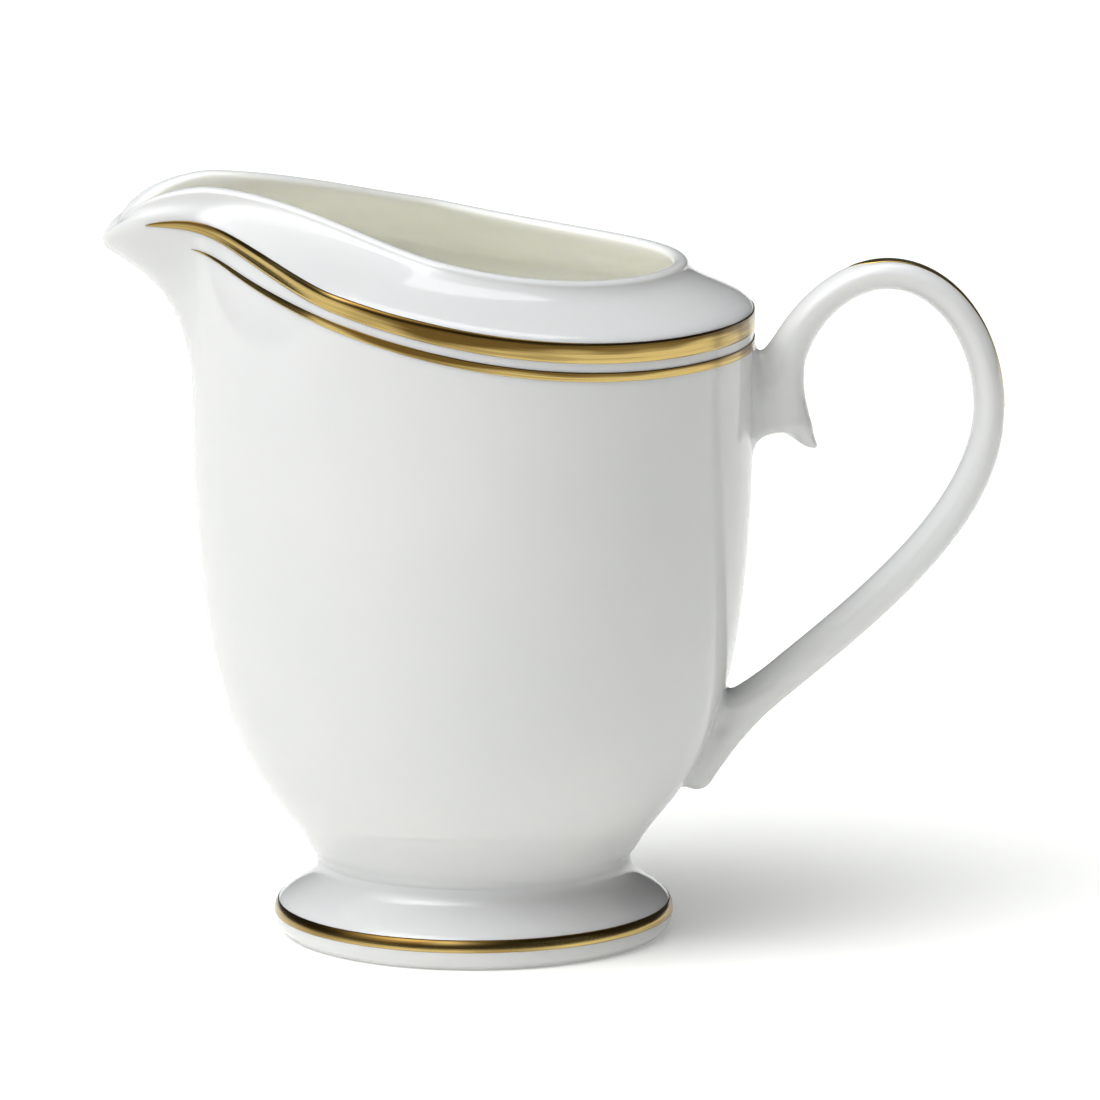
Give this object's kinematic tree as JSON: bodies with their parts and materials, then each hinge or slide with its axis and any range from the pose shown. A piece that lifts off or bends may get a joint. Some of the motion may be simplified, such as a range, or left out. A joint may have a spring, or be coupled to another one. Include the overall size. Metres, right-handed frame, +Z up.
{
  "type": "cream jug",
  "caption": "Footed porcelain cream jug with a rim that sweeps up into a pouring spout, a loop handle with a thumb spur, and gilded lines at shoulder, foot and handle",
  "frame": {"origin": "On the surface it stands on, under the middle of the whole length from spout tip to handle", "axes": "+Z up, the handle towards +X and the spout towards -X, +Y across the jug"},
  "size_m": [0.1354, 0.0852, 0.1144],
  "materials": {
    "porcelain": "clear glossy glaze over a bluish to warm white body",
    "gilding": "burnished gold, fired over the glaze"
  },
  "bodies": {
    "root": {"jug_body": "porcelain", "foot": "porcelain", "handle": "porcelain", "shoulder_gold_band": "gilding", "shoulder_gold_line": "gilding", "foot_gold_band": "gilding", "handle_gold_stroke": "gilding"}
  },
  "joints": []
}
